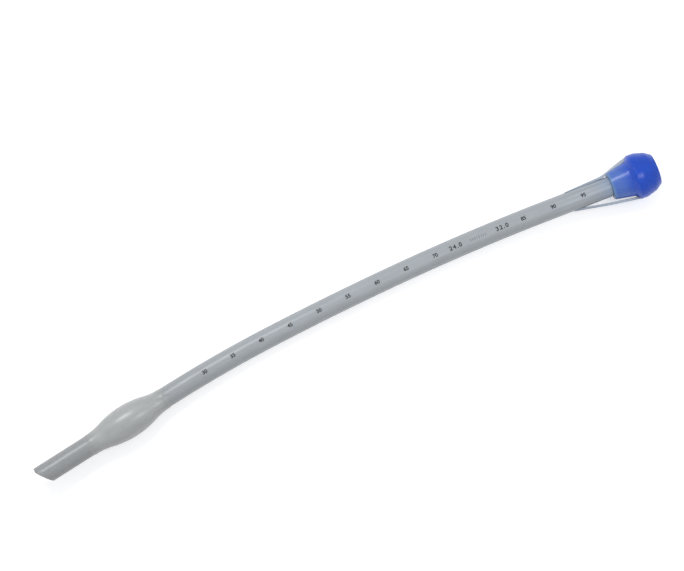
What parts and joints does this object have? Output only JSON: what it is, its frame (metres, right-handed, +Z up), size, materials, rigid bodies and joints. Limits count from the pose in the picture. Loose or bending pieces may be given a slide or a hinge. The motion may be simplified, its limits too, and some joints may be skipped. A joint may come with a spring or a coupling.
{
  "type": "endotracheal tube",
  "caption": "Cuffed silicone endotracheal tube for large animals, bowed and lying on its side, with a bevelled tip, a part-filled cuff and a stepped blue circuit socket.",
  "frame": {"origin": "middle of the part's box, on the surface that it lies on", "axes": "+X from the tip towards the socket, +Y to the side that the tube bows to, +Z up from the surface"},
  "size_m": [1.0696, 0.0848, 0.0729],
  "materials": {
    "tube_silicone": "satin, milky and half clear",
    "cuff_silicone": "soft sheen, thin and half clear",
    "strap_silicone": "satin, clear",
    "socket_silicone": "glossy, moulded"
  },
  "bodies": {
    "root": {"tube": "tube_silicone", "cuff": "cuff_silicone", "socket": "socket_silicone", "left_strap": "strap_silicone", "right_strap": "strap_silicone", "inflation_gland": "tube_silicone"}
  },
  "joints": []
}
